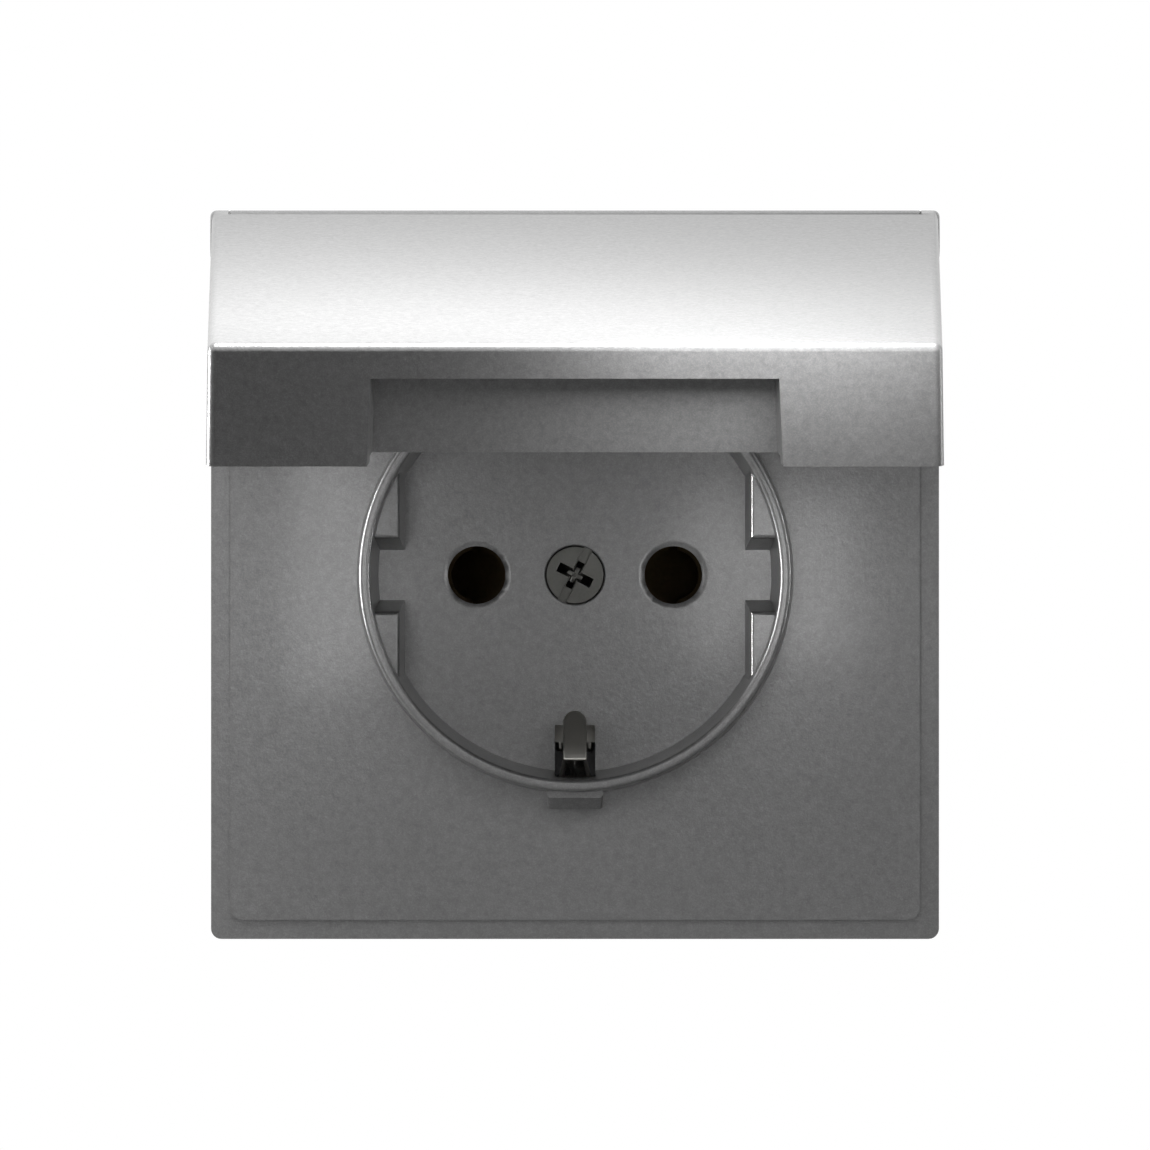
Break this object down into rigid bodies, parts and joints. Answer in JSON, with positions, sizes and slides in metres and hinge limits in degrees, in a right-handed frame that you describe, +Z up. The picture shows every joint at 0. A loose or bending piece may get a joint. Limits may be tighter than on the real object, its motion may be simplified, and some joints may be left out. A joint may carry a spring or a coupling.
{
  "type": "type f wall socket",
  "caption": "Square flush wall socket insert with a round plug recess, side earth clips and a hinged splash-proof lid, shown standing open.",
  "frame": {"origin": "on the wall surface, on the axis of the plug recess", "axes": "+Z up, +X to the right of someone facing the socket, +Y into the wall"},
  "size_m": [0.0702, 0.1128, 0.0702],
  "materials": {
    "anthracite_plastic": "matte metallic lacquer",
    "dark_screw": "black-zinc plated",
    "steel": "zinc plated",
    "zinc_steel": "zinc plated sheet",
    "gasket_rubber": "soft foam rubber",
    "lid_rubber": "soft rubber",
    "housing_plastic": "dark grey moulded",
    "nickel_strip": "nickel plated strip",
    "contact_brass": "plain",
    "terminal_brass": "plain",
    "spring_steel": "plain"
  },
  "bodies": {
    "socket": {"cover_plate": "anthracite_plastic", "hinge_pin_left": "steel", "hinge_pin_right": "steel", "centre_screw": "dark_screw", "support_ring": "zinc_steel", "ring_rivets": "zinc_steel", "rear_gasket": "gasket_rubber", "cup_seal": "gasket_rubber", "insert_front": "housing_plastic", "insert_base": "housing_plastic", "contact_carrier": "housing_plastic", "base_screws": "steel", "earth_bracket": "nickel_strip", "live_contact": "contact_brass", "neutral_contact": "contact_brass", "live_contact_spring": "spring_steel", "neutral_contact_spring": "spring_steel", "live_terminal": "terminal_brass", "neutral_terminal": "terminal_brass", "earth_terminal": "terminal_brass", "live_terminal_screw": "steel", "neutral_terminal_screw": "steel", "earth_terminal_screw": "steel"},
    "lid": {"lid": "anthracite_plastic", "lid_seal": "lid_rubber"}
  },
  "joints": [
    {"name": "lid_hinge", "type": "hinge", "parent": "socket", "child": "lid", "pos_m": [0, -0.0153, 0.0326], "axis": [-1, 0, 0], "range_deg": [-78.7, 26.3]}
  ]
}
